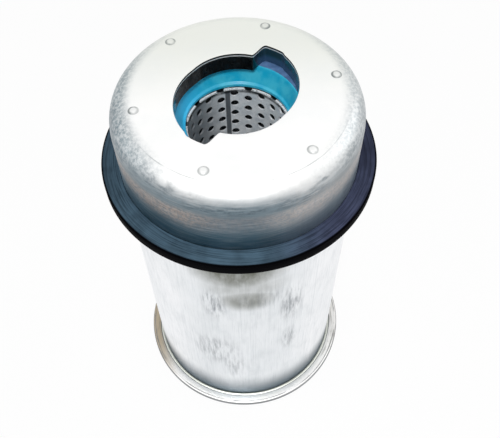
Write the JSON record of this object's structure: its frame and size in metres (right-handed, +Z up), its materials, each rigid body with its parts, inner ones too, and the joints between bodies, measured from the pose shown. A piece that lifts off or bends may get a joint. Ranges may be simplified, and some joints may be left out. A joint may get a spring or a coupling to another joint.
{
  "type": "hydraulic filter",
  "caption": "Canister hydraulic filter: drawn shell with a bayonet mouth, an outer sealing ring and a folded base rim, over a pleated element with centre tube and bypass valve.",
  "frame": {"origin": "centre of the base face, on the filter's axis", "axes": "+Z up the filter's axis to its mouth, +X through one of the weld marks on the top"},
  "size_m": [0.12, 0.12, 0.2005],
  "materials": {
    "shell_aluminium": "satin drawn sheet",
    "ring_rubber": "matt moulded rubber",
    "bayonet_steel": "black coating",
    "seal_rubber": "turquoise moulded rubber",
    "cap_plastic": "moulded nylon",
    "potting": "cast resin",
    "filter_media": "pleated fibre layer",
    "support_mesh": "fine woven wire",
    "band_plastic": "plastic strip",
    "tube_steel": "perforated tinned steel",
    "cap_steel": "pressed tinned steel",
    "plate_steel": "zinc plated, yellow passivated",
    "spring_steel": "oiled spring wire",
    "seat_brass": "turned brass",
    "valve_steel": "turned steel",
    "gasket_rubber": "flat rubber"
  },
  "bodies": {
    "filter_body": {"outer_shell": "shell_aluminium", "sealing_ring": "ring_rubber", "bayonet_plate": "bayonet_steel", "spigot_seal": "seal_rubber", "top_end_cap": "cap_plastic", "top_potting": "potting", "bottom_potting": "potting", "pleated_media": "filter_media", "support_mesh": "support_mesh", "pleat_bands": "band_plastic", "centre_tube": "tube_steel", "bottom_end_cap": "cap_steel", "base_plate": "plate_steel", "element_spring": "spring_steel", "bypass_seat": "seat_brass", "bypass_spring": "spring_steel", "bypass_cage": "cap_steel"},
    "bypass_valve": {"bypass_poppet": "valve_steel", "bypass_gasket": "gasket_rubber", "gasket_washer": "valve_steel"}
  },
  "joints": [
    {"name": "bypass_lift", "type": "slide", "parent": "filter_body", "child": "bypass_valve", "axis": [0, 0, 1], "range_m": [0, 0.005], "stiffness_N_per_m": 4000, "springref_m": -0.009, "deforming": ["bypass_spring"]}
  ]
}
